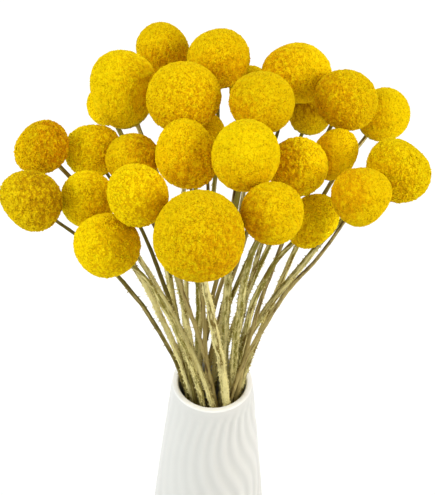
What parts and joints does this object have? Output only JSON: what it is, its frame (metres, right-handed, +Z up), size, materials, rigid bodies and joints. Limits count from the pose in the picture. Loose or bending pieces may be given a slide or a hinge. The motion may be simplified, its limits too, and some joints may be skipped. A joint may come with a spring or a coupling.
{
  "type": "preserved craspedia stems in a vase",
  "caption": "Bunch of dried craspedia: round yellow flower heads on woolly olive and brown stems that twist through the mouth of a tall white glazed vase with wavy upright ribs.",
  "frame": {"origin": "centre of the vase's flat foot, on the surface it stands on", "axes": "+Z up along the vase's axis; -Y to the front, the side that the picture shows; +X to the viewer's right"},
  "size_m": [0.2041, 0.1792, 0.4155],
  "materials": {
    "glaze": "smooth white glaze over low wavy ribs, cream in the light",
    "stalk_olive": "dry woolly stalk, pale khaki olive, matt",
    "stalk_brown": "dry slim stalk, olive brown, matt",
    "head_lemon": "fine granular florets, lemon yellow, matt",
    "head_yellow": "fine granular florets, deep yellow, matt",
    "head_orange": "fine granular florets, orange ochre, matt",
    "head_olive": "fine granular florets, olive yellow, matt"
  },
  "bodies": {
    "root": {"vase": "glaze", "stem_01": "stalk_olive", "head_01": "head_yellow", "stem_02": "stalk_olive", "head_02": "head_yellow", "stem_03": "stalk_olive", "head_03": "head_lemon", "stem_04": "stalk_olive", "head_04": "head_yellow", "stem_05": "stalk_brown", "head_05": "head_yellow", "stem_06": "stalk_olive", "head_06": "head_yellow", "stem_07": "stalk_olive", "head_07": "head_yellow", "stem_08": "stalk_olive", "head_08": "head_lemon", "stem_09": "stalk_brown", "head_09": "head_lemon", "stem_10": "stalk_olive", "head_10": "head_olive", "stem_11": "stalk_olive", "head_11": "head_orange", "stem_12": "stalk_brown", "head_12": "head_olive", "stem_13": "stalk_olive", "head_13": "head_yellow", "stem_14": "stalk_brown", "head_14": "head_yellow", "stem_15": "stalk_olive", "head_15": "head_lemon", "stem_16": "stalk_olive", "head_16": "head_orange", "stem_17": "stalk_brown", "head_17": "head_orange", "stem_18": "stalk_olive", "head_18": "head_lemon", "stem_19": "stalk_brown", "head_19": "head_orange", "stem_20": "stalk_brown", "head_20": "head_olive", "stem_21": "stalk_olive", "head_21": "head_yellow", "stem_22": "stalk_brown", "head_22": "head_lemon", "stem_23": "stalk_olive", "head_23": "head_lemon", "stem_24": "stalk_olive", "head_24": "head_yellow", "stem_25": "stalk_olive", "head_25": "head_yellow", "stem_26": "stalk_olive", "head_26": "head_yellow", "stem_27": "stalk_brown", "head_27": "head_yellow", "stem_28": "stalk_olive", "head_28": "head_lemon", "stem_29": "stalk_brown", "head_29": "head_yellow"}
  },
  "joints": []
}
